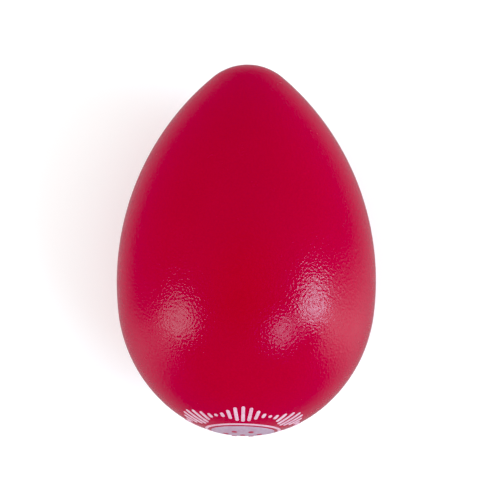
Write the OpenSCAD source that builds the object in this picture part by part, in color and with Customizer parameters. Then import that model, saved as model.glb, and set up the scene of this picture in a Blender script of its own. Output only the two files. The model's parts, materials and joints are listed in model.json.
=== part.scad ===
// Egg shaker: a hollow two-part plastic egg with loose steel shot sealed inside.
// Millimetres, +Z up. The egg lies on its side on z = 0, at the tilt that it settles to,
// with the narrow end towards +Y and the origin under the middle of its bounding box.

/* [Egg] */
// Widest diameter of the egg
egg_d = 42; // [38:0.5:48]
// Radius of the round base end
base_r = 19.4; // [18.8:0.1:19.8]
// Radius of the shoulder between the base end and the girth
shoulder_r = 23.6; // [23.2:0.1:24.4]
// Radius of the long flank from the girth to the narrow end
flank_r = 43.9; // [40:0.1:48]
// Radius of the narrow end
tip_r = 8.8; // [7:0.1:10]
// Direction that the surface faces where shoulder and flank meet, from the base pole
shoulder_angle = 83; // [82:0.5:84]
// Angle that the narrow end dips by as the egg lies at rest
rest_tilt = 7.3; // [0:0.1:12]

/* [Shells] */
// Wall thickness of both shells
wall = 2; // [1.6:0.1:2.4]
// Depth of the spigot that centres the two shells
spigot_depth = 2.5; // [1.5:0.1:4]
// Thickness of the spigot
spigot_wall = 0.95; // [0.6:0.05:1.1]
// Gap between the spigot and its seat
spigot_gap = 0.05; // [0.02:0.01:0.1]
// Width of the weld bead between the shells' rims
bead_w = 0.5; // [0.3:0.05:0.6]
// Height of the weld bead
bead_h = 0.3; // [0.2:0.05:0.5]

/* [Shot] */
// Diameter of one shot
shot_d = 4; // [3.5:0.1:4.5]
// Gap between neighbouring shots, side by side
shot_gap = 0.2; // [0.1:0.05:0.4]
// Gap that a resting shot keeps from the wall
wall_gap = 0.1; // [0.05:0.01:0.2]
// How far the heap climbs the wall above its lowest shot
heap_rise = 4.2; // [2:0.1:6]

/* [Print] */
// Thickness of the ink
ink = 0.08; // [0.04:0.01:0.12]
// Radius of the printed disc on the base end
disc_r = 5.1; // [4:0.1:5.5]
// Outer radius of the printed ring
ring_r = 6.1; // [5.8:0.1:6.6]
// Width of the ring's line
ring_w = 0.45; // [0.3:0.05:0.6]
// Sideways shift of the whole print from the base pole
print_shift = 0.4; // [0:0.1:1]
// Upward shift of the whole print from the base pole
print_rise = 0.6; // [0:0.1:0.8]
// Width of one printed stroke
stroke_w = 0.6; // [0.4:0.05:0.8]
// Radius of the circle that the strokes are centred on
strokes_r = 8.7; // [8.7:0.1:9.2]
// Number of strokes around the print
stroke_count = 48; // [24:6:48]
// Strokes in one swell, from a dot to a tall stroke and back
swell_count = 8; // [4:4:12]
// Length of the tallest stroke
stroke_max = 3.8; // [2:0.1:3.8]
// Number of red dots on the disc
dot_count = 6; // [3:1:8]
// Diameter of one red dot
dot_d = 0.9; // [0.6:0.05:1.2]
// Radius of the circle of red dots
dots_r = 2.7; // [2:0.1:3.5]

/* [Hidden] */
$fn = 96;

// A section point is [radius, s], with s along the long axis from the base pole.
// facing(a) is the outward direction at the angle a from the base pole.
function facing(a) = [sin(a), -cos(a)];

// Arc centres, first with s counted from the girth.
flank_at = [egg_d / 2 - flank_r, 0];
tip_at = [0, sqrt(pow(flank_r - tip_r, 2) - pow(flank_at.x, 2))];
shoulder_at = flank_at + (flank_r - shoulder_r) * facing(shoulder_angle);
base_at = [0, shoulder_at.y - sqrt(pow(shoulder_r - base_r, 2) - pow(shoulder_at.x, 2))];
girth_s = base_r - base_at.y;
egg_l = girth_s + tip_at.y + tip_r;

// The four arcs from the base end to the narrow end: centre, radius, and where each ends.
from_pole = [0, girth_s];
ARC_AT = [base_at + from_pole, shoulder_at + from_pole, flank_at + from_pole, tip_at + from_pole];
ARC_R = [base_r, shoulder_r, flank_r, tip_r];
join_base = (base_at - shoulder_at) / (shoulder_r - base_r);
join_tip = (tip_at - flank_at) / (flank_r - tip_r);
ARC_END = [join_base, facing(shoulder_angle), join_tip, [0, 1]];

// Where arc k ends along the axis, on a surface set in by inset.
function arc_end(k, inset) = ARC_AT[k].y + (ARC_R[k] - inset) * ARC_END[k].y;
function arc_of(s, inset) = s < arc_end(0, inset) ? 0 : s < arc_end(1, inset) ? 1 : s < arc_end(2, inset) ? 2 : 3;
function arc_radius(k, s, inset) = ARC_AT[k].x + sqrt(pow(ARC_R[k] - inset, 2) - pow(s - ARC_AT[k].y, 2));
// Radius of that surface at the distance s along the axis.
function skin_r(s, inset) = arc_radius(arc_of(s, inset), s, inset);

// Resting place: heights and lengths of the tilted egg come from its arcs.
egg_low = ARC_AT[2].y * sin(rest_tilt) + ARC_AT[2].x * cos(rest_tilt) + flank_r;
tip_reach = ARC_AT[3].y * cos(rest_tilt) + tip_r;
base_reach = ARC_AT[0].y * cos(rest_tilt) - base_r - ink;
axis_start = [0, -(tip_reach + base_reach) / 2, egg_low];

// A length too small to see or feel.
hair = 0.0005;

spigot_r = egg_d / 2 - wall + spigot_wall;
seat_r = spigot_r + spigot_gap;
bead_r = (seat_r + egg_d / 2) / 2;

// The heap: one layer of shots on the lowest part of the wall, in a triangular grid.
// In the egg's own frame +Z is the long axis and +Y is down. Each shot has a clear lane along Y.
shot_inset = wall + wall_gap + shot_d / 2;
pitch = shot_d + shot_gap;
row_step = pitch * sqrt(3) / 2;
heap_s = ARC_AT[2].y + (flank_r - shot_inset) * sin(rest_tilt);
function lane_half(x, s) = sqrt(pow(skin_r(s, shot_inset), 2) - x * x);
function depth(x, s) = s * sin(rest_tilt) + lane_half(x, s) * cos(rest_tilt);
ROWS = 5;
COLUMNS = 4;
SHOTS = [
    for (row = [-ROWS : ROWS], column = [-COLUMNS : COLUMNS])
        let (x = (column + (row % 2 == 0 ? 0 : 0.5)) * pitch, s = heap_s + row * row_step)
            if (depth(x, s) > depth(0, heap_s) - heap_rise) [x, s]
];
function shot_name(i) = str("shot_", i < 9 ? "0" : "", i + 1);

// Puts a piece drawn in the egg's own frame where the egg lies.
module laid_down() {
    translate(axis_start) rotate([-90 - rest_tilt, 0, 0]) children();
}

// Cuts a half plane away from a section: keeps s from low to high.
module keep(low, high) {
    intersection() {
        children();
        translate([0, low]) square([egg_d, high - low]);
    }
}

module arc_disc(k, inset) {
    translate(ARC_AT[k]) circle(ARC_R[k] - inset);
}

// Half section of the whole egg, with its surface set in by inset.
// Of two arcs that meet, the wider one is a hair lower, so that they cross cleanly and don't just touch.
module egg_section(inset) {
    keep(0, egg_l) arc_disc(0, inset);
    keep(arc_end(0, inset), arc_end(1, inset) + 1) arc_disc(1, inset + hair);
    keep(arc_end(1, inset), arc_end(2, inset)) arc_disc(2, inset + 2 * hair);
    keep(0, egg_l) arc_disc(3, inset + hair);
}

module wall_section() {
    difference() {
        egg_section(0);
        egg_section(wall);
    }
}

// Ring section between two radii, from low to high along the axis.
module band(inner, outer, low, high) {
    translate([inner, low]) square([outer - inner, high - low]);
}

module bead_section() {
    band(bead_r - bead_w / 2, bead_r + bead_w / 2, girth_s - bead_h, girth_s);
}

// The rounder half, with the spigot's seat and a groove for the weld in its rim.
module base_end_shell() {
    color([0.71, 0.0, 0.15]) laid_down() rotate_extrude() difference() {
        keep(0, girth_s) wall_section();
        band(0, seat_r, girth_s - spigot_depth - spigot_gap, egg_l);
        bead_section();
    }
}

// The pointed half, with the spigot that reaches down into the base end.
module narrow_end_shell() {
    color([0.71, 0.0, 0.15]) laid_down() rotate_extrude() {
        keep(girth_s, egg_l) wall_section();
        intersection() {
            wall_section();
            band(0, spigot_r, girth_s - spigot_depth, girth_s + spigot_depth);
        }
    }
}

module seam_weld() {
    color([0.6, 0.0, 0.12]) laid_down() rotate_extrude() bead_section();
}

// Everything printed sits on the base end's ball, turned sideways and upward a little about its centre.
module on_base() {
    turned = [-asin(print_rise / base_r), asin(print_shift / base_r), 0];
    laid_down() translate([0, 0, base_r]) rotate(turned) children();
}

// Section of an ink layer on the base ball, from radius inner to outer.
module ink_section(inner, outer) {
    intersection() {
        difference() {
            circle(base_r + ink);
            circle(base_r);
        }
        band(inner, outer, -2 * base_r, 0);
    }
}

// Ink in the plan of its children, between two heights above the base ball.
module inked(low, high) {
    difference() {
        intersection() {
            sphere(base_r + high);
            translate([0, 0, -2 * base_r]) linear_extrude(2 * base_r) children();
        }
        sphere(base_r + low);
    }
}

module print_disc() {
    color([0.71, 0.63, 0.71]) on_base() rotate_extrude() ink_section(0, disc_r);
}

module print_ring() {
    color([0.85, 0.75, 0.78]) on_base() rotate_extrude() ink_section(ring_r - ring_w, ring_r);
}

// One rounded stroke along X, centred on the origin, or a dot where its length is its width.
module stroke(length) {
    square([length - stroke_w, stroke_w], center = true);
    for (end = [-1, 1]) translate([end * (length - stroke_w) / 2, 0]) circle(d = stroke_w, $fn = 24);
}

// Length of stroke i: it swells from a dot to the tallest stroke and back.
function swell(i) = (1 - cos(360 * i / swell_count)) / 2;
function stroke_length(i) = stroke_w * 1.05 + (stroke_max - stroke_w * 1.05) * swell(i);

module print_strokes() {
    color([0.85, 0.75, 0.78]) on_base() inked(0, ink) for (i = [0 : stroke_count - 1])
        rotate(360 * i / stroke_count) translate([strokes_r, 0]) stroke(stroke_length(i));
}

// Red dots over the disc's ink.
module print_dots() {
    color([0.71, 0.0, 0.15]) on_base() inked(ink, 2 * ink) {
        circle(d = dot_d, $fn = 24);
        for (i = [0 : dot_count - 1])
            rotate(360 * i / dot_count) translate([dots_r, 0]) circle(d = dot_d, $fn = 24);
    }
}

module shot(place) {
    color([0.66, 0.67, 0.69]) laid_down()
        translate([place.x, lane_half(place.x, place.y), place.y]) sphere(d = shot_d, $fn = 48);
}

base_end_shell();
narrow_end_shell();
seam_weld();
print_disc();
print_ring();
print_strokes();
print_dots();
for (i = [0 : len(SHOTS) - 1]) shot(SHOTS[i]);
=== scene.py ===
"""Looks of the egg shaker: a red moulded plastic egg with a small print on its base end.

The shapes are drawn in millimetres in the egg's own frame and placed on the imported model:
local +Z runs along the egg from the base end to the narrow end, and local +Y points down.
"""

import json
import math

import bmesh
import bpy
from mathutils import Matrix, Vector

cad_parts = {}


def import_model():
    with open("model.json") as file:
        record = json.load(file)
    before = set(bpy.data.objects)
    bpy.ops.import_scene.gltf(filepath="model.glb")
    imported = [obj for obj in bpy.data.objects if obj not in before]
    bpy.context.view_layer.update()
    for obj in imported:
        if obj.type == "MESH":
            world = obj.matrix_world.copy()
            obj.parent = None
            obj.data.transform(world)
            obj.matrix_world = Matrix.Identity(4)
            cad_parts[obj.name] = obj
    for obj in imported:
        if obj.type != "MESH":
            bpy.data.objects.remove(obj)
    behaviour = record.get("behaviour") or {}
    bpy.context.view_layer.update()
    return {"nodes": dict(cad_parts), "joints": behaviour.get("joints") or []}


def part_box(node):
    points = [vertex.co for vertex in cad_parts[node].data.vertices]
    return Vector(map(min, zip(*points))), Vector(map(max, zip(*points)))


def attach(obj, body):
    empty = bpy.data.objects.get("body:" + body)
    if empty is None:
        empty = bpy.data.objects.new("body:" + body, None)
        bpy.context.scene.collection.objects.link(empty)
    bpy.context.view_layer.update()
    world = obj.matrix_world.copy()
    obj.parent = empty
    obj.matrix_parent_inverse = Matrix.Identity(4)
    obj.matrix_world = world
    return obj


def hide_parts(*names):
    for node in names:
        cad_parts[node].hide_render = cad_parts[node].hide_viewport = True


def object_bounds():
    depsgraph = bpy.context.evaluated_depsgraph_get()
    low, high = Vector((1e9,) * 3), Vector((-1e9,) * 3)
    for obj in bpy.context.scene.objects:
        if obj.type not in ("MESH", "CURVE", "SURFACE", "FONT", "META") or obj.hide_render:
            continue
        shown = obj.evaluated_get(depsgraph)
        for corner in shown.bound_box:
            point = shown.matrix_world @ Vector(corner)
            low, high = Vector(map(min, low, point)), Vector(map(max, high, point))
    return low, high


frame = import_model()

MM = 0.001
TURN = 2 * math.pi

# The egg's outline: four arcs from the base end to the narrow end, as in the CAD model.
EGG_R = 21.0
BASE_R = 19.4
SHOULDER_R = 23.6
FLANK_R = 43.9
TIP_R = 8.8
SHOULDER_ANGLE = math.radians(83)

# The two shells.
WALL = 2.0
SPIGOT_DEPTH = 2.5
SPIGOT_R = EGG_R - WALL + 0.95
SPIGOT_GAP = 0.05
SEAT_R = SPIGOT_R + SPIGOT_GAP
BEAD_W = 0.5
BEAD_H = 0.3
BEAD_R = (SEAT_R + EGG_R) / 2

# The print on the base end.
INK = 0.08
DISC_R = 5.1
RING_R = 6.1
RING_W = 0.45
PRINT_SHIFT = 0.4
PRINT_RISE = 0.6
STROKE_W = 0.6
STROKES_R = 8.7
STROKE_COUNT = 48
SWELL_COUNT = 8
STROKE_MAX = 3.8
DOT_COUNT = 6
DOT_D = 0.9
DOTS_R = 2.7

# Steps of the meshes.
AROUND = 224
DISC_AROUND = 144
RING_AROUND = 160
DOT_AROUND = 32
CAP_STEPS = 12
OUTER_STEP = 0.5
INNER_STEP = 1.0

# Edges that turn more than this are crisp.
SHELL_CORNER = math.radians(35)
INK_CORNER = math.radians(80)

# The photograph's framing: width of the view at the egg, and the turn of the camera.
VIEW_W = 81.0 * MM
CAMERA_TURN = math.radians(0.42)
CAMERA_ASIDE = 0.56 * MM
BLACK = (0.03, 0.052, 0.03)


# ---------------------------------------------------------------- outline


def facing(angle):
    """Outward direction as (radius, s) at an angle from the base pole."""
    return Vector((math.sin(angle), -math.cos(angle)))


def egg_arcs():
    """The four arcs as (centre, radius, start angle, end angle), and s of the girth."""
    flank = Vector((EGG_R - FLANK_R, 0))
    tip = Vector((0, math.sqrt((FLANK_R - TIP_R) ** 2 - flank.x**2)))
    shoulder = flank + (FLANK_R - SHOULDER_R) * facing(SHOULDER_ANGLE)
    base = Vector((0, shoulder.y - math.sqrt((SHOULDER_R - BASE_R) ** 2 - shoulder.x**2)))
    girth = BASE_R - base.y
    to_shoulder = base - shoulder
    to_tip = tip - flank
    base_angle = math.atan2(to_shoulder.x, -to_shoulder.y)
    tip_angle = math.atan2(to_tip.x, -to_tip.y)
    up = Vector((0, girth))
    arcs = [
        (base + up, BASE_R, 0.0, base_angle),
        (shoulder + up, SHOULDER_R, base_angle, SHOULDER_ANGLE),
        (flank + up, FLANK_R, SHOULDER_ANGLE, tip_angle),
        (tip + up, TIP_R, tip_angle, math.pi),
    ]
    return arcs, girth


ARCS, GIRTH = egg_arcs()
# Direction that the surface faces at the girth, from the base pole.
GIRTH_ANGLE = math.pi / 2


def arc_point(arc, angle, inset):
    centre, radius = arc[0], arc[1]
    return centre + (radius - inset) * facing(angle)


def skin_points(start, end, inset, step):
    """Points of the egg's surface, set in by inset, between two facing angles."""
    points = []
    for arc in ARCS:
        low = max(start, arc[2])
        high = min(end, arc[3])
        if high - low < 1e-6:
            continue
        count = max(2, math.ceil((high - low) * (arc[1] - inset) / step))
        angles = [low + (high - low) * k / count for k in range(count + 1)]
        made = [arc_point(arc, a, inset) for a in angles]
        points += made[1:] if points else made
    return points


def angle_at(s, inset):
    """Facing angle at which the set-in surface reaches s along the axis."""
    for arc in ARCS:
        if arc_point(arc, arc[3], inset).y >= s - 1e-9:
            return math.acos(max(-1.0, min(1.0, (arc[0].y - s) / (arc[1] - inset))))
    return math.pi


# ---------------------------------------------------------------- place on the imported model


def egg_place():
    """Matrix from the egg's own millimetres to the row frame in metres."""
    up = Vector(frame["joints"][0]["axis"]).normalized()
    side = Vector((1, 0, 0))
    along = up.cross(side)
    low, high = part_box("seam_weld")
    ring = (Vector(low) + Vector(high)) / 2
    pole = ring - along * (GIRTH - BEAD_H / 2) * MM
    turn = Matrix((side, -up, along)).transposed().to_4x4()
    return Matrix.Translation(pole) @ turn @ Matrix.Scale(MM, 4)


def print_place():
    """Matrix from the base ball's own frame, turned sideways and upward a little, to the egg's frame."""
    sideways = Matrix.Rotation(math.asin(PRINT_SHIFT / BASE_R), 4, "Y")
    upward = Matrix.Rotation(-math.asin(PRINT_RISE / BASE_R), 4, "X")
    return Matrix.Translation((0, 0, BASE_R)) @ sideways @ upward


EGG = egg_place()
PRINT = EGG @ print_place()


# ---------------------------------------------------------------- meshes


def new_object(name, bm, place, smooth_angle):
    """Turns a bmesh into an object in the row frame, smooth shaded with crisp corners."""
    bm.transform(place)
    bmesh.ops.recalc_face_normals(bm, faces=bm.faces)
    for face in bm.faces:
        face.smooth = True
    for edge in bm.edges:
        edge.smooth = edge.calc_face_angle(0.0) < smooth_angle
    mesh = bpy.data.meshes.new(name)
    bm.to_mesh(mesh)
    bm.free()
    made = bpy.data.objects.new(name, mesh)
    bpy.context.scene.collection.objects.link(made)
    return made


def circle_row(bm, point, count):
    """Vertices round the axis at a section point, or a single one on the axis."""
    if point.x < 1e-6:
        return [bm.verts.new((0, 0, point.y))]
    row = []
    for k in range(count):
        turn = TURN * k / count
        row.append(bm.verts.new((point.x * math.cos(turn), point.x * math.sin(turn), point.y)))
    return row


def join_rows(bm, first, second, slot):
    """Faces between two rows of vertices, either of which may be a single vertex."""
    if len(first) == 1 and len(second) == 1:
        return
    count = max(len(first), len(second))
    for k in range(count):
        n = (k + 1) % count
        if len(first) == 1:
            corners = (first[0], second[n], second[k])
        elif len(second) == 1:
            corners = (first[k], first[n], second[0])
        else:
            corners = (first[k], first[n], second[n], second[k])
        bm.faces.new(corners).material_index = slot


def lathe(sections, count, closed):
    """Turns runs of section points round the axis. Each run has its own material slot."""
    bm = bmesh.new()
    rows = []
    for slot, points in sections:
        for point in points:
            rows.append((circle_row(bm, point, count), slot))
    pairs = list(zip(rows, rows[1:]))
    if closed:
        pairs.append((rows[-1], rows[0]))
    for (row, slot), (after, _) in pairs:
        join_rows(bm, row, after, slot)
    return bm


def base_end_shell():
    seat_floor = GIRTH - SPIGOT_DEPTH - SPIGOT_GAP
    outer = skin_points(0, GIRTH_ANGLE, 0, OUTER_STEP)
    rim = [
        Vector((BEAD_R + BEAD_W / 2, GIRTH)),
        Vector((BEAD_R + BEAD_W / 2, GIRTH - BEAD_H)),
        Vector((BEAD_R - BEAD_W / 2, GIRTH - BEAD_H)),
        Vector((BEAD_R - BEAD_W / 2, GIRTH)),
        Vector((SEAT_R, GIRTH)),
        Vector((SEAT_R, seat_floor)),
    ]
    inner = skin_points(0, angle_at(seat_floor, WALL), WALL, INNER_STEP)[::-1]
    bm = lathe([(0, outer), (1, rim + inner)], AROUND, closed=False)
    return new_object("base_end_plastic", bm, EGG, SHELL_CORNER)


def narrow_end_shell():
    foot = GIRTH - SPIGOT_DEPTH
    inner = skin_points(angle_at(foot, WALL), math.pi, WALL, INNER_STEP)
    rim = [Vector((SPIGOT_R, foot)), Vector((SPIGOT_R, GIRTH))]
    outer = skin_points(GIRTH_ANGLE, math.pi, 0, OUTER_STEP)
    bm = lathe([(1, inner[::-1] + rim), (0, outer)], AROUND, closed=False)
    return new_object("narrow_end_plastic", bm, EGG, SHELL_CORNER)


# An ink layer's edge is round: height over the layer's underside at a distance in from its outline.
EDGE = 0.12
EDGE_STEPS = (0.0, 0.08, 0.25, 0.55, 1.0)


def edge_height(distance):
    if distance >= EDGE:
        return INK
    return INK * math.sqrt(1 - (1 - distance / EDGE) ** 2)


def on_ball(x, y, height):
    """Point over the plan position x, y on the base ball, at a height above it."""
    radius = BASE_R + height
    return Vector((x, y, -math.sqrt(radius**2 - x**2 - y**2)))


def ball_row(bm, radius, height, count):
    if radius < 1e-6:
        return [bm.verts.new(on_ball(0, 0, height))]
    turns = [TURN * k / count for k in range(count)]
    return [bm.verts.new(on_ball(radius * math.cos(t), radius * math.sin(t), height)) for t in turns]


def disc_rows(bm, radius, under, count):
    """Rows of a round ink layer, from the middle of its top over the edge to its underside."""
    rows = [ball_row(bm, 0, under + INK, count)]
    step = 0.35
    flat = int((radius - EDGE) / step)
    for k in range(1, flat + 1):
        rows.append(ball_row(bm, (radius - EDGE) * k / (flat + 1), under + INK, count))
    for share in reversed(EDGE_STEPS):
        rows.append(ball_row(bm, radius - EDGE * share, under + edge_height(EDGE * share), count))
    rows.append(ball_row(bm, radius * 0.5, under, count))
    rows.append(ball_row(bm, 0, under, count))
    return rows


def join_all(bm, rows, closed=False):
    pairs = list(zip(rows, rows[1:]))
    if closed:
        pairs.append((rows[-1], rows[0]))
    for row, after in pairs:
        join_rows(bm, row, after, 0)


def print_disc():
    bm = bmesh.new()
    join_all(bm, disc_rows(bm, DISC_R, 0, DISC_AROUND))
    return new_object("printed_disc", bm, PRINT, INK_CORNER)


def print_ring():
    bm = bmesh.new()
    rows = []
    for share in EDGE_STEPS:
        rows.append(ball_row(bm, RING_R - EDGE * share, edge_height(EDGE * share), RING_AROUND))
    for share in reversed(EDGE_STEPS):
        radius = RING_R - RING_W + EDGE * share
        rows.append(ball_row(bm, radius, edge_height(EDGE * share), RING_AROUND))
    join_all(bm, rows, closed=True)
    return new_object("printed_ring", bm, PRINT, INK_CORNER)


def stroke_outline(length):
    """Outline of a rounded bar as (outline point, nearest spine point), once round."""
    reach = (length - STROKE_W) / 2
    half = STROKE_W / 2
    straight = max(1, round(2 * reach / 0.3))
    pairs = []
    for end in (1, -1):
        spine = Vector((end * reach, 0))
        for k in range(CAP_STEPS + 1):
            turn = math.pi * (k / CAP_STEPS - 0.5)
            out = Vector((end * math.cos(turn), end * math.sin(turn))) * half
            pairs.append((spine + out, spine))
        for k in range(1, straight):
            spine = Vector((end * reach * (1 - 2 * k / straight), 0))
            pairs.append((spine + Vector((0, end * half)), spine))
    return pairs


def stroke_length(i):
    swell = (1 - math.cos(TURN * i / SWELL_COUNT)) / 2
    shortest = STROKE_W * 1.05
    return shortest + (STROKE_MAX - shortest) * swell


def add_stroke(bm, length, turn):
    """One rounded bar of ink, pointing away from the middle of the print."""
    half = STROKE_W / 2
    spin = Matrix.Rotation(turn, 2)
    shift = Vector((STROKES_R, 0))
    rings = [(half, 0.0)]
    rings += [(half - EDGE * share, edge_height(EDGE * share)) for share in EDGE_STEPS[1:]]
    rings += [(half * 0.3, INK), (0.0, INK)]
    pairs = stroke_outline(length)
    rows = []
    for reach, height in rings:
        row = []
        for outline, spine in pairs:
            flat = spin @ (spine + (outline - spine) * (reach / half) + shift)
            row.append(bm.verts.new(on_ball(flat.x, flat.y, height)))
        rows.append(row)
    under = []
    for outline, spine in pairs:
        flat = spin @ (spine + shift)
        under.append(bm.verts.new(on_ball(flat.x, flat.y, 0.0)))
    for row, after in zip([under] + rows, rows):
        join_rows(bm, row, after, 0)


def print_strokes():
    bm = bmesh.new()
    for i in range(STROKE_COUNT):
        add_stroke(bm, stroke_length(i), TURN * i / STROKE_COUNT)
    bmesh.ops.remove_doubles(bm, verts=bm.verts, dist=1e-5)
    bmesh.ops.dissolve_degenerate(bm, dist=1e-5, edges=bm.edges)
    return new_object("printed_strokes", bm, PRINT, INK_CORNER)


def print_dots():
    bm = bmesh.new()
    spots = [Vector((0, 0))]
    for k in range(DOT_COUNT):
        turn = TURN * k / DOT_COUNT
        spots.append(Vector((math.cos(turn), math.sin(turn))) * DOTS_R)
    for spot in spots:
        add_dot(bm, spot)
    return new_object("printed_dots", bm, PRINT, INK_CORNER)


def add_dot(bm, spot):
    """One round dot of ink that lies on the disc's ink."""
    rows = []
    rings = [(0.0, INK), (0.45 * DOT_D / 2, INK)]
    rings += [(DOT_D / 2 - EDGE * k, edge_height(EDGE * k)) for k in reversed(EDGE_STEPS)]
    rings += [(0.0, 0.0)]
    for radius, height in rings:
        turns = [TURN * k / DOT_AROUND for k in range(DOT_AROUND if radius > 0 else 1)]
        row = []
        for turn in turns:
            x = spot.x + radius * math.cos(turn)
            y = spot.y + radius * math.sin(turn)
            row.append(bm.verts.new(on_ball(x, y, INK + height)))
        rows.append(row)
    join_all(bm, rows)


# ---------------------------------------------------------------- materials


class Nodes:
    """Short names for building a material's nodes."""

    def __init__(self, name):
        self.material = bpy.data.materials.new(name)
        self.material.use_nodes = True
        self.tree = self.material.node_tree
        self.shader = self.tree.nodes["Principled BSDF"]
        self.place = self.tree.nodes.new("ShaderNodeTexCoord").outputs["Object"]

    def add(self, kind, **sockets):
        node = self.tree.nodes.new(kind)
        for key, value in sockets.items():
            node.inputs[key].default_value = value
        return node

    def link(self, source, target):
        self.tree.links.new(source, target)

    def set(self, key, value):
        self.shader.inputs[key].default_value = value

    def noise(self, scale, detail=2.0, roughness=0.5):
        node = self.add("ShaderNodeTexNoise", Scale=scale, Detail=detail, Roughness=roughness)
        self.link(self.place, node.inputs["Vector"])
        return node.outputs["Fac"]

    def cells(self, scale, smoothness=0.6):
        """Height of close-packed round grains: 1 on top of a grain, 0 between grains."""
        node = self.add("ShaderNodeTexVoronoi", Scale=scale)
        node.feature = "SMOOTH_F1"
        node.inputs["Smoothness"].default_value = smoothness
        self.link(self.place, node.inputs["Vector"])
        return self.ranged(node.outputs["Distance"], 0.0, 0.8, 1.0, 0.0)

    def ranged(self, value, low, high, to_low, to_high):
        node = self.add("ShaderNodeMapRange")
        for key, number in (
            ("From Min", low),
            ("From Max", high),
            ("To Min", to_low),
            ("To Max", to_high),
        ):
            node.inputs[key].default_value = number
        self.link(value, node.inputs["Value"])
        return node.outputs["Result"]

    def math(self, operation, first, second):
        node = self.tree.nodes.new("ShaderNodeMath")
        node.operation = operation
        for socket, value in zip(node.inputs, (first, second)):
            if isinstance(value, (int, float)):
                socket.default_value = value
            else:
                self.link(value, socket)
        return node.outputs["Value"]

    def mixed(self, share, first, second):
        """Colour between two colours, each a tuple or a socket."""
        node = self.tree.nodes.new("ShaderNodeMix")
        node.data_type = "RGBA"
        self.link(share, node.inputs["Factor"])
        for key, value in (("A", first), ("B", second)):
            socket = [s for s in node.inputs if s.name == key and s.type == "RGBA"][0]
            if isinstance(value, tuple):
                socket.default_value = (*value, 1.0)
            else:
                self.link(value, socket)
        return [s for s in node.outputs if s.type == "RGBA"][0]

    def colour(self, source):
        self.link(source, self.shader.inputs["Base Color"])

    def rough(self, source):
        self.link(source, self.shader.inputs["Roughness"])

    def bump(self, height, depth_mm, strength=1.0):
        node = self.add("ShaderNodeBump", Strength=strength, Distance=depth_mm * MM)
        self.link(height, node.inputs["Height"])
        self.link(node.outputs["Normal"], self.shader.inputs["Normal"])


PEBBLE_SCALE = 2500.0
PEBBLE_DEPTH = 0.047


def pebble_height(n):
    """The mould's fine grain: round pebbles about 0.4 mm across, uneven in height."""
    pebbles = n.cells(PEBBLE_SCALE, 0.7)
    uneven = n.ranged(n.noise(2400.0, 1.0), 0.3, 0.7, 0.4, 1.0)
    fine = n.ranged(n.noise(6500.0, 1.0), 0.3, 0.7, 0.0, 0.12)
    return n.math("ADD", n.math("MULTIPLY", pebbles, uneven), fine)


def red_plastic():
    """Outside of the shells: saturated red with the mould's satin pebble grain, and painted shade in the
    pits between pebbles.
    """
    n = Nodes("red_moulded_plastic")
    height = pebble_height(n)
    slow = n.ranged(n.noise(55.0, 3.0), 0.35, 0.65, 0.0, 1.0)
    red = n.mixed(slow, (0.384, 0.0004, 0.018), (0.404, 0.0007, 0.02))
    # Painted shade: the red is darker in the pits between the pebbles, where shade falls.
    painted_pit_shade = n.ranged(height, 0.1, 0.6, 0.35, 0.0)
    n.colour(n.mixed(painted_pit_shade, red, (0.34, 0.0003, 0.015)))
    scuffs = n.ranged(n.noise(240.0, 4.0, 0.62), 0.5, 0.72, 0.0, 0.07)
    n.rough(n.math("ADD", scuffs, n.ranged(n.noise(900.0), 0.3, 0.7, 0.19, 0.23)))
    n.bump(height, PEBBLE_DEPTH)
    n.set("IOR", 1.42)
    return n.material


def red_inside():
    """Inside of the shells and their rims: the same plastic, smooth, with faint flow marks."""
    n = Nodes("red_plastic_inside")
    flow = n.noise(70.0, 3.0)
    n.colour(n.mixed(flow, (0.33, 0.0005, 0.014), (0.41, 0.0008, 0.019)))
    n.rough(n.ranged(n.noise(600.0), 0.3, 0.7, 0.24, 0.36))
    n.bump(n.noise(420.0, 2.0), 0.01)
    n.set("IOR", 1.5)
    return n.material


def weld_plastic():
    """The weld bead: plastic that melted, dull and slightly wavy."""
    n = Nodes("melted_red_plastic")
    n.colour(n.mixed(n.noise(900.0, 3.0), (0.24, 0.0004, 0.01), (0.36, 0.001, 0.017)))
    n.rough(n.ranged(n.noise(1200.0), 0.3, 0.7, 0.4, 0.6))
    n.bump(n.noise(1800.0, 3.0), 0.03)
    return n.material


def ink_material(name, thick, thin, rough_low, rough_high):
    """Pad-printed ink over the pebble grain: the red shows through a little where it is thin."""
    n = Nodes(name)
    height = pebble_height(n)
    mottle = n.ranged(n.noise(2300.0, 2.0), 0.35, 0.7, 0.0, 0.55)
    slow = n.ranged(n.noise(420.0, 2.0), 0.35, 0.65, 0.0, 0.45)
    n.colour(n.mixed(n.math("ADD", mottle, slow), thick, thin))
    n.rough(n.ranged(n.noise(1400.0), 0.3, 0.7, rough_low, rough_high))
    n.bump(height, PEBBLE_DEPTH * 0.6)
    n.set("IOR", 1.48)
    return n.material


def shot_steel():
    """Steel shot: bright but scuffed, with fine scratches and a few dull patches."""
    n = Nodes("shot_steel")
    tarnish = n.ranged(n.noise(500.0, 4.0, 0.6), 0.42, 0.66, 0.0, 1.0)
    n.colour(n.mixed(tarnish, (0.66, 0.655, 0.64), (0.44, 0.435, 0.425)))
    dull = n.ranged(tarnish, 0.0, 1.0, 0.14, 0.3)
    scratches = n.ranged(n.noise(4200.0), 0.3, 0.7, 0.0, 0.06)
    n.rough(n.math("ADD", dull, scratches))
    n.bump(n.noise(3000.0, 3.0), 0.004)
    n.set("Metallic", 1.0)
    return n.material


RED = red_plastic()
RED_INSIDE = red_inside()
WELD = weld_plastic()
PALE_INK = ink_material("pale_lilac_ink", (0.45, 0.34, 0.41), (0.4, 0.22, 0.3), 0.34, 0.48)
WHITE_INK = ink_material("white_ink", (0.72, 0.48, 0.55), (0.6, 0.3, 0.38), 0.34, 0.48)
RED_INK = ink_material("red_ink", (0.36, 0.001, 0.018), (0.42, 0.05, 0.08), 0.36, 0.5)
STEEL = shot_steel()


# ---------------------------------------------------------------- pieces


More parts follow.
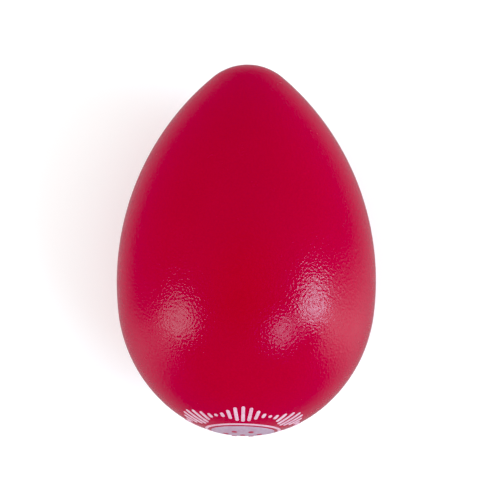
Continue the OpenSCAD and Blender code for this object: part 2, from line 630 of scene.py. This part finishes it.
def dress(piece, node, slot, *materials):
    """Gives a piece its materials, hangs it on the egg's body and hides the CAD node that it replaces.
    """
    for material in materials:
        piece.data.materials.append(material)
    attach(piece, "egg")
    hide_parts(node)


def dress_node(node, material):
    """Gives a carried-over CAD node a procedural material."""
    found = frame["nodes"][node]
    if not found.material_slots:
        found.data.materials.append(material)
    for slot in found.material_slots:
        slot.link = "OBJECT"
        slot.material = material


dress(base_end_shell(), "base_end_shell", "red_shell", RED, RED_INSIDE)
dress(narrow_end_shell(), "narrow_end_shell", "red_shell", RED, RED_INSIDE)
dress(print_disc(), "print_disc", "pale_ink", PALE_INK)
dress(print_ring(), "print_ring", "white_ink", WHITE_INK)
dress(print_strokes(), "print_strokes", "white_ink", WHITE_INK)
dress(print_dots(), "print_dots", "red_ink", RED_INK)
dress_node("seam_weld", WELD)
for name in sorted(frame["nodes"]):
    if name.startswith("shot_"):
        dress_node(name, STEEL)


# ---------------------------------------------------------------- floor, light and camera


def floor():
    """Plain white table under the egg, with a slight glow of its own."""
    bm = bmesh.new()
    bmesh.ops.create_grid(bm, x_segments=1, y_segments=1, size=FLOOR_REACH)
    made = new_object("floor", bm, Matrix.Identity(4), 1.0)
    n = Nodes("pale_floor")
    n.colour(n.mixed(n.noise(3.0), (0.955, 0.965, 0.955), (0.97, 0.98, 0.97)))
    n.set("Roughness", 0.7)
    n.set("Specular IOR Level", 0.2)
    n.set("Emission Color", (1.0, 1.0, 1.0, 1.0))
    n.set("Emission Strength", FLOOR_GLOW)
    made.data.materials.append(n.material)
    made.visible_glossy = False


# How bright the surround is at heights from straight below (-1) to overhead (1), and how that leans.
SKY = (
    (-1.0, 0.45),
    (-0.85, 0.5),
    (-0.67, 0.57),
    (-0.39, 0.66),
    (-0.2, 0.76),
    (0.0, 0.85),
    (0.35, 0.92),
    (0.6, 1.05),
    (0.8, 1.05),
    (1.0, 0.65),
)
SKY_LEAN = (0.05, 0.09, 0.0)
# The glow that each softbox leaves on the table in front of it, at the same heights.
GLOW = (
    (-0.85, 0.0),
    (-0.7, 0.16),
    (-0.55, 0.34),
    (-0.39, 0.5),
    (-0.2, 0.68),
    (0.0, 1.0),
    (0.14, 1.0),
    (0.28, 0.0),
)
GLOW_FOCUS = 24
# Azimuth in degrees from +Y towards +X, and strength, of each glow.
LEFT_GLOW = (-114, 1.3)
RIGHT_GLOW = (104, 2.5)
# Scale that fits the surround's ramp between 0 and 1. It is multiplied back afterwards.
SKY_TOP = 2.0
# Colour of the surround below the horizon.
WARM = (1.1, 1.0, 1.0)
# Half the width of the table, in metres, and how much it glows.
FLOOR_REACH = 12.0
FLOOR_GLOW = 0.1


class Sky:
    """Short names for building the surround's nodes."""

    def __init__(self, name):
        self.world = bpy.data.worlds.new(name)
        self.world.use_nodes = True
        self.tree = self.world.node_tree
        self.way = self.tree.nodes.new("ShaderNodeTexCoord").outputs["Generated"]
        parts = self.tree.nodes.new("ShaderNodeSeparateXYZ")
        self.tree.links.new(self.way, parts.inputs[0])
        self.height = self.math("MULTIPLY_ADD", parts.outputs["Z"], 0.5, 0.5)

    def math(self, operation, *values):
        node = self.tree.nodes.new("ShaderNodeMath")
        node.operation = operation
        for socket, value in zip(node.inputs, values):
            if isinstance(value, (int, float)):
                socket.default_value = value
            else:
                self.tree.links.new(value, socket)
        return node.outputs["Value"]

    def levels(self, stops, top):
        """Brightness at a height, as a share of top."""
        node = self.tree.nodes.new("ShaderNodeValToRGB")
        made = node.color_ramp.elements
        while len(made) < len(stops):
            made.new(0.5)
        for stop, (level, bright) in zip(made, stops):
            share = bright / top
            stop.position = (level + 1) / 2
            stop.color = (share, share, share, 1.0)
        self.tree.links.new(self.height, node.inputs["Fac"])
        return node.outputs["Color"]

    def towards(self, vector, flat):
        """How far a direction points along a vector; flat leaves its height out."""
        way = self.way
        if flat:
            for operation, other in (("MULTIPLY", (1, 1, 0)), ("NORMALIZE", None)):
                node = self.tree.nodes.new("ShaderNodeVectorMath")
                node.operation = operation
                if other:
                    node.inputs[1].default_value = other
                self.tree.links.new(way, node.inputs[0])
                way = node.outputs["Vector"]
        node = self.tree.nodes.new("ShaderNodeVectorMath")
        node.operation = "DOT_PRODUCT"
        node.inputs[1].default_value = vector
        self.tree.links.new(way, node.inputs[0])
        return node.outputs["Value"]

    def glow(self, azimuth, strength):
        """A patch of glow round an azimuth from +Y towards +X."""
        a = math.radians(azimuth)
        share = self.math("MAXIMUM", self.towards((math.sin(a), math.cos(a), 0), True), 0.0)
        share = self.math("MULTIPLY", self.math("POWER", share, GLOW_FOCUS), self.levels(GLOW, 1.0))
        return self.math("MULTIPLY", share, strength)

    def tint(self, warm):
        """White above the horizon and warm below it, where the table mirrors the egg's red."""
        node = self.tree.nodes.new("ShaderNodeMix")
        node.data_type = "RGBA"
        below = self.levels(((-1.0, 1.0), (-0.12, 1.0), (0.0, 0.0)), 1.0)
        self.tree.links.new(below, node.inputs["Factor"])
        for key, value in (("A", (1.0, 1.0, 1.0)), ("B", warm)):
            socket = [s for s in node.inputs if s.name == key and s.type == "RGBA"][0]
            socket.default_value = (*value, 1.0)
        return [s for s in node.outputs if s.type == "RGBA"][0]


def world():
    """Soft white surround, darker overhead, where the camera hangs, and dim below."""
    sky = Sky("studio")
    lean = sky.math("MULTIPLY_ADD", sky.towards(SKY_LEAN, False), SKY_TOP, SKY_TOP)
    bright = sky.math("MULTIPLY", sky.levels(SKY, SKY_TOP), lean)
    bright = sky.math("ADD", bright, sky.glow(*LEFT_GLOW))
    bright = sky.math("ADD", bright, sky.glow(*RIGHT_GLOW))
    back = sky.tree.nodes["Background"]
    sky.tree.links.new(sky.tint(WARM), back.inputs["Color"])
    sky.tree.links.new(bright, back.inputs["Strength"])
    bpy.context.scene.world = sky.world


LOW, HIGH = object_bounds()
CENTRE = (LOW + HIGH) / 2


def softbox(name, azimuth, elevation, width, height, radiance, colour=(1, 1, 1), distance=1.2):
    """A soft light seen from the egg at an azimuth (from +Y towards +X), with its size in degrees."""
    a, e = math.radians(azimuth), math.radians(elevation)
    away = Vector((math.sin(a) * math.cos(e), math.cos(a) * math.cos(e), math.sin(e)))
    light = bpy.data.lights.new(name, "AREA")
    light.shape = "ELLIPSE"
    light.size = 2 * distance * math.tan(math.radians(width / 2))
    light.size_y = 2 * distance * math.tan(math.radians(height / 2))
    light.energy = radiance * math.pi * light.size * light.size_y
    light.color = colour
    made = bpy.data.objects.new(name, light)
    made.location = CENTRE + away * distance
    made.rotation_euler = away.to_track_quat("Z", "Y").to_euler()
    made.visible_camera = False
    bpy.context.scene.collection.objects.link(made)


def camera():
    """Straight above the egg on a long lens, as the photograph was taken."""
    data = bpy.data.cameras.new("camera")
    data.sensor_width = 36.0
    data.lens = 500.0
    data.clip_start = 0.01
    data.clip_end = 60.0
    away = VIEW_W * data.lens / data.sensor_width
    made = bpy.data.objects.new("camera", data)
    made.location = (CAMERA_ASIDE, 0.0, CENTRE.z + away)
    made.rotation_euler = (0.0, 0.0, CAMERA_TURN)
    bpy.context.scene.collection.objects.link(made)
    bpy.context.scene.camera = made


def photo_tones():
    """Plain display of colours, with the darkest tones held down a little as in the photograph."""
    view = bpy.context.scene.view_settings
    view.view_transform = "Standard"
    view.use_curve_mapping = True
    view.curve_mapping.black_level = BLACK
    view.curve_mapping.update()


floor()
world()
softbox("left_softbox", -106, 26, 26, 35, 3.2, (0.78, 0.96, 1.0))
softbox("right_softbox", 96, 27, 20, 27, 9.2, (0.52, 0.8, 1.0))
softbox("back_softbox", 129, 48, 21, 20, 4.6, (0.52, 0.8, 1.0))
camera()
photo_tones()
